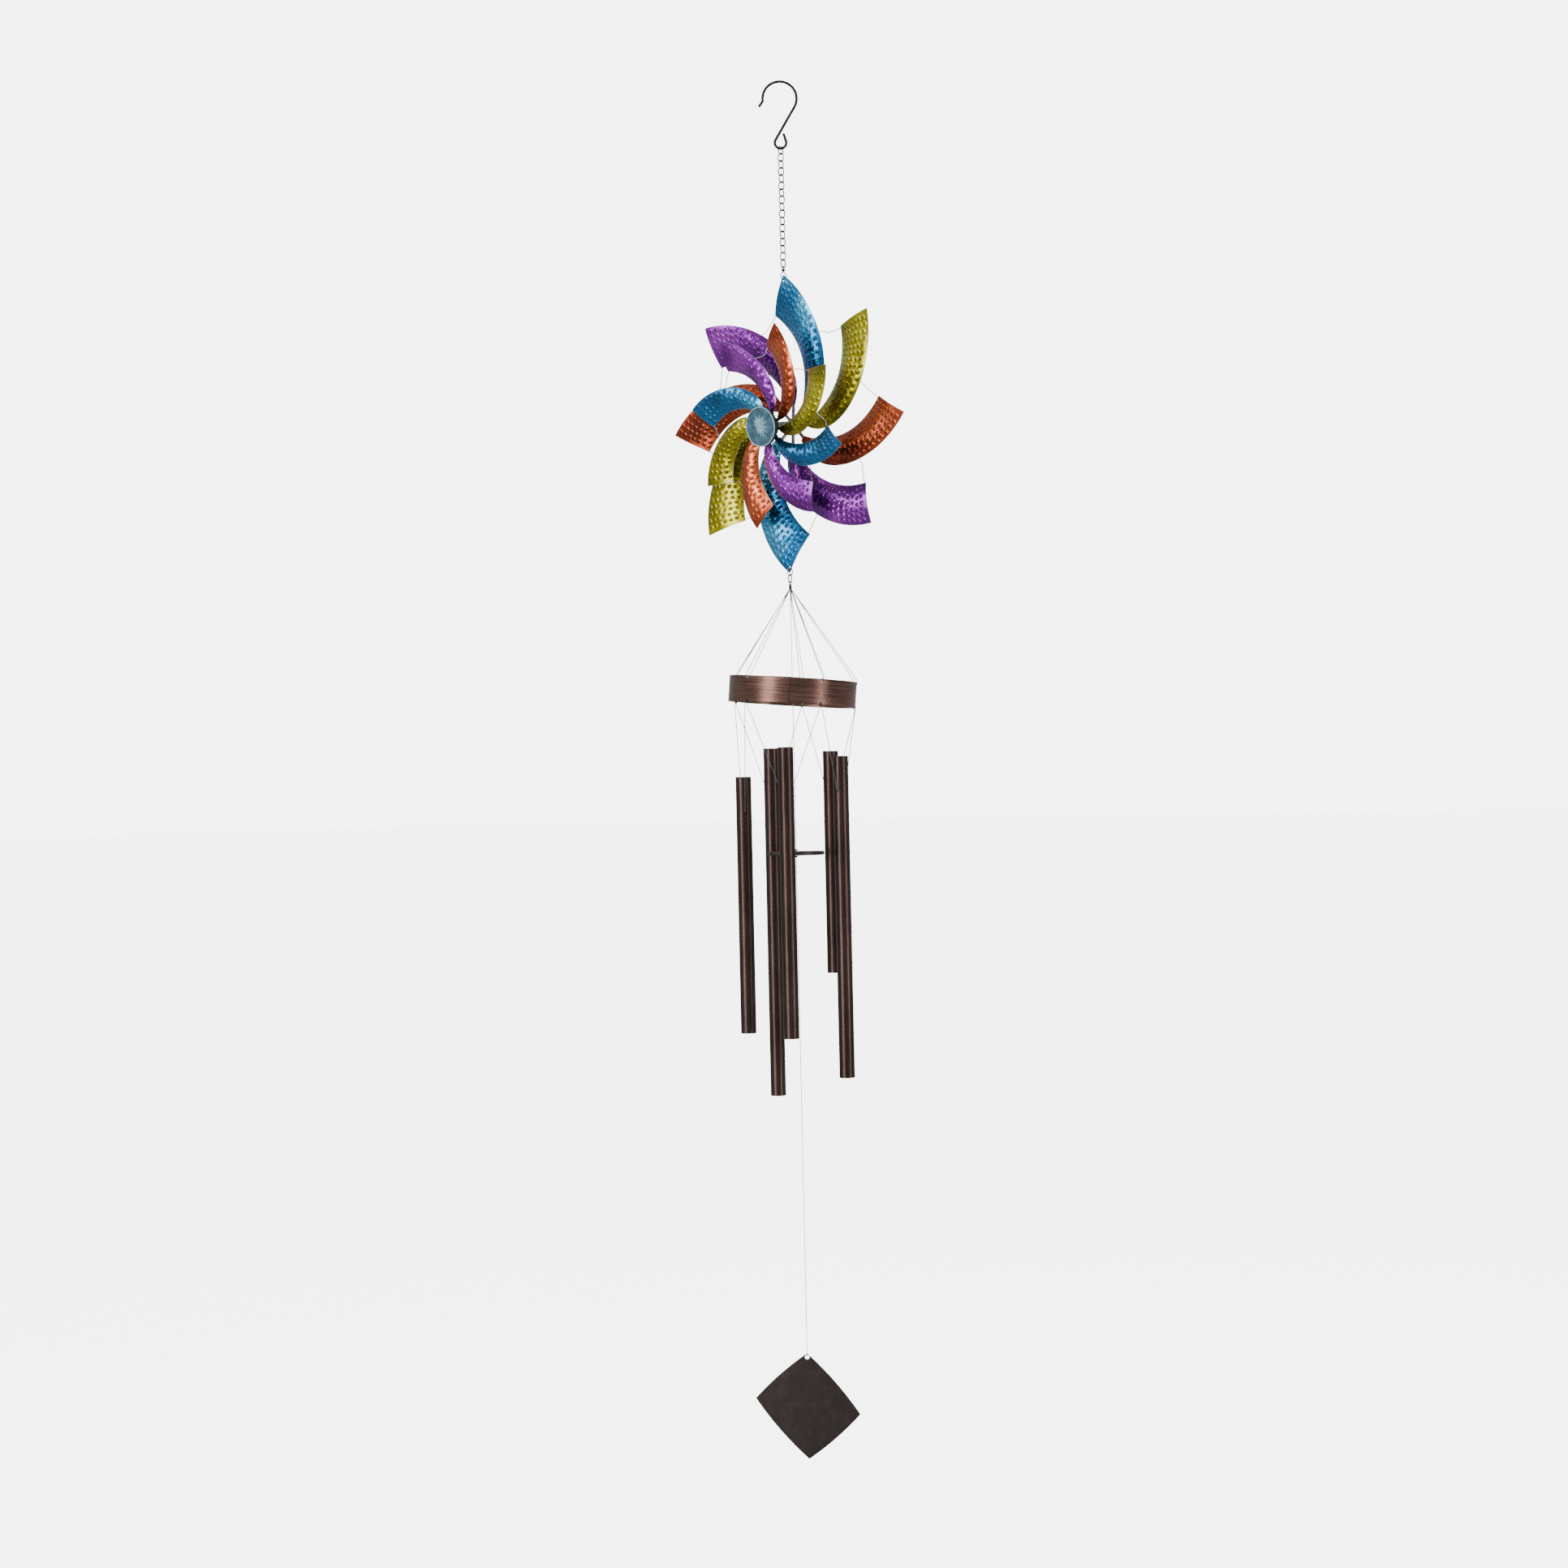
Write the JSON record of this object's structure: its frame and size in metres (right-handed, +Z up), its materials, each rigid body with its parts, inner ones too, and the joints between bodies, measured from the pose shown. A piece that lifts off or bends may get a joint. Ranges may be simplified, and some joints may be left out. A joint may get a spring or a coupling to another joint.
{
  "type": "kinetic wind sculpture",
  "caption": "Hanging wind spinner: hook and chain, a fixed wheel of cupped hammered blades, a smaller wheel spinning in front of it, and a tube chime with striker and sail.",
  "frame": {"origin": "where the hook's bend rests on its support: the lowest point of the wire's underside at the top of the bend", "axes": "+Z up along the plumb line through both drilled blade tips, -Y the way the wheels face, +X to the right seen from the front"},
  "size_m": [0.245, 0.1065, 1.1329],
  "materials": {
    "hook_wire": "black painted steel wire",
    "chain": "black painted steel chain",
    "silver_wire": "bright plated steel wire",
    "hub_plate": "plain steel",
    "blue_foil": "translucent blue lacquer over bright hammered metal",
    "gold_foil": "translucent yellow-green lacquer over bright hammered metal",
    "copper_foil": "translucent copper-red lacquer over bright hammered metal",
    "purple_foil": "translucent purple lacquer over bright hammered metal",
    "verdigris": "blue-grey aged casting with dark hollows",
    "brass_bush": "turned brass",
    "bronze_band": "brown lacquered brushed bronze",
    "bronze_tube": "brown lacquered drawn tube",
    "striker_bronze": "brown lacquered disc",
    "sail_bronze": "dark speckled bronze sheet",
    "black_line": "thin braided black nylon line"
  },
  "bodies": {
    "hook": {"s_hook": "hook_wire"},
    "chain_1": {"chain_1": "chain"},
    "chain_2": {"chain_2": "chain"},
    "chain_3": {"chain_3": "chain"},
    "chain_4": {"chain_4": "chain"},
    "chain_5": {"chain_5": "chain"},
    "chain_6": {"chain_6": "chain"},
    "swivel_top": {"swivel_eye": "silver_wire", "swivel_barrel": "chain"},
    "swivel_bottom": {"swivel_ring": "silver_wire"},
    "wheel": {"back_blade_1": "blue_foil", "back_blade_2": "gold_foil", "back_blade_3": "copper_foil", "back_blade_4": "purple_foil", "back_blade_5": "blue_foil", "back_blade_6": "gold_foil", "back_blade_7": "copper_foil", "back_blade_8": "purple_foil", "back_hub": "hub_plate", "back_ties": "silver_wire", "axle_bolt": "hub_plate", "axle_nut": "hub_plate", "spacer_tube": "hub_plate", "thrust_washer": "hub_plate", "end_nut": "hub_plate"},
    "rotor": {"front_blade_1": "copper_foil", "front_blade_2": "gold_foil", "front_blade_3": "blue_foil", "front_blade_4": "purple_foil", "front_blade_5": "copper_foil", "front_blade_6": "gold_foil", "front_blade_7": "blue_foil", "front_blade_8": "purple_foil", "front_hub": "hub_plate", "front_ties": "silver_wire", "bushing": "brass_bush", "medallion": "verdigris"},
    "lower_ring": {"lower_ring": "silver_wire"},
    "chime_link": {"chime_link": "chain"},
    "chime": {"line_whipping": "black_line", "hanger_lines": "black_line", "chime_band": "bronze_band"},
    "tube_1": {"tube_1": "bronze_tube", "tube_lines_1": "black_line"},
    "tube_2": {"tube_2": "bronze_tube", "tube_lines_2": "black_line"},
    "tube_3": {"tube_3": "bronze_tube", "tube_lines_3": "black_line"},
    "tube_4": {"tube_4": "bronze_tube", "tube_lines_4": "black_line"},
    "tube_5": {"tube_5": "bronze_tube", "tube_lines_5": "black_line"},
    "striker_pivot": {"centre_line_top": "black_line"},
    "striker": {"striker_line": "black_line", "striker": "striker_bronze", "striker_knots": "black_line"},
    "sail_pivot": {"sail_line_top": "black_line"},
    "sail_line": {"sail_line": "black_line"},
    "sail_loop": {"sail_loop": "black_line"},
    "sail": {"sail": "sail_bronze"}
  },
  "joints": [
    {"name": "chain_swing_1", "type": "hinge", "parent": "hook", "child": "chain_1", "pos_m": [0, 0, -0.05385], "axis": [0.766, 0.6428, 0], "range_deg": [-20, 20]},
    {"name": "chain_swing_2", "type": "hinge", "parent": "chain_1", "child": "chain_2", "pos_m": [0, 0, -0.07037], "axis": [0, 1, 0], "range_deg": [-20, 20]},
    {"name": "chain_swing_3", "type": "hinge", "parent": "chain_2", "child": "chain_3", "pos_m": [0, 0, -0.08778], "axis": [1, 0, 0], "range_deg": [-20, 20]},
    {"name": "chain_swing_4", "type": "hinge", "parent": "chain_3", "child": "chain_4", "pos_m": [0, 0, -0.10518], "axis": [0, 1, 0], "range_deg": [-20, 20]},
    {"name": "chain_swing_5", "type": "hinge", "parent": "chain_4", "child": "chain_5", "pos_m": [0, 0, -0.12258], "axis": [1, 0, 0], "range_deg": [-20, 20]},
    {"name": "chain_swing_6", "type": "hinge", "parent": "chain_5", "child": "chain_6", "pos_m": [0, 0, -0.13997], "axis": [0, 1, 0], "range_deg": [-20, 20]},
    {"name": "swivel_swing", "type": "hinge", "parent": "chain_6", "child": "swivel_top", "pos_m": [0, 0, -0.1506], "axis": [1, 0, 0], "range_deg": [-20, 20]},
    {"name": "swivel_turn", "type": "hinge", "parent": "swivel_top", "child": "swivel_bottom", "pos_m": [0, 0, -0.1538], "axis": [0, 0, 1], "continuous": true},
    {"name": "wheel_rock", "type": "hinge", "parent": "swivel_bottom", "child": "wheel", "pos_m": [0, 0, -0.16185], "axis": [0, 1, 0], "range_deg": [-12, 12]},
    {"name": "rotor_spin", "type": "hinge", "parent": "wheel", "child": "rotor", "pos_m": [0, 0.00782, -0.2801], "axis": [-0.0694, -0.9921, -0.1045], "continuous": true},
    {"name": "lower_ring_swing", "type": "hinge", "parent": "wheel", "child": "lower_ring", "pos_m": [0, 0, -0.39835], "axis": [0, 1, 0], "range_deg": [-10, 10]},
    {"name": "chime_link_swing", "type": "hinge", "parent": "lower_ring", "child": "chime_link", "pos_m": [0, 0, -0.40377], "axis": [0.9205, -0.3907, 0], "range_deg": [-15, 15]},
    {"name": "chime_turn", "type": "hinge", "parent": "chime_link", "child": "chime", "pos_m": [0, 0, -0.41592], "axis": [0, 0, 1], "range_deg": [-45, 45]},
    {"name": "tube_swing_1", "type": "hinge", "parent": "chime", "child": "tube_1", "pos_m": [0.00337, 0.04234, -0.5142], "axis": [0.9937, -0.0972, -0.055], "range_deg": [-0.5, 10]},
    {"name": "tube_swing_2", "type": "hinge", "parent": "chime", "child": "tube_2", "pos_m": [-0.04026, 0.01667, -0.51027], "axis": [0.3966, 0.9153, -0.0702], "range_deg": [-0.5, 10]},
    {"name": "tube_swing_3", "type": "hinge", "parent": "chime", "child": "tube_3", "pos_m": [-0.02921, -0.03284, -0.50843], "axis": [-0.7486, 0.6629, 0.0116], "range_deg": [-0.5, 10]},
    {"name": "tube_swing_4", "type": "hinge", "parent": "chime", "child": "tube_4", "pos_m": [0.02124, -0.03778, -0.51123], "axis": [-0.8593, -0.5056, 0.0774], "range_deg": [-0.5, 10]},
    {"name": "tube_swing_5", "type": "hinge", "parent": "chime", "child": "tube_5", "pos_m": [0.04137, 0.00869, -0.51479], "axis": [0.2175, -0.9754, 0.0362], "range_deg": [-0.5, 10]},
    {"name": "striker_swing_x", "type": "hinge", "parent": "chime", "child": "striker_pivot", "pos_m": [0, 0, -0.41592], "axis": [1, 0, 0], "range_deg": [-2, 2]},
    {"name": "striker_swing_y", "type": "hinge", "parent": "striker_pivot", "child": "striker", "pos_m": [0, 0, -0.42192], "axis": [0, 1, 0], "range_deg": [-2, 2]},
    {"name": "sail_swing_x", "type": "hinge", "parent": "striker", "child": "sail_pivot", "pos_m": [0, 0, -0.63702], "axis": [1, 0, 0], "range_deg": [-4, 4]},
    {"name": "sail_swing_y", "type": "hinge", "parent": "sail_pivot", "child": "sail_line", "pos_m": [0, 0, -0.64302], "axis": [0, 1, 0], "range_deg": [-4, 4]},
    {"name": "sail_turn", "type": "hinge", "parent": "sail_line", "child": "sail_loop", "pos_m": [0, 0, -1.04197], "axis": [0, 0, 1], "range_deg": [-180, 180]},
    {"name": "sail_rock", "type": "hinge", "parent": "sail_loop", "child": "sail", "pos_m": [0, 0, -1.04547], "axis": [0.6428, -0.766, 0], "range_deg": [-25, 25]}
  ]
}
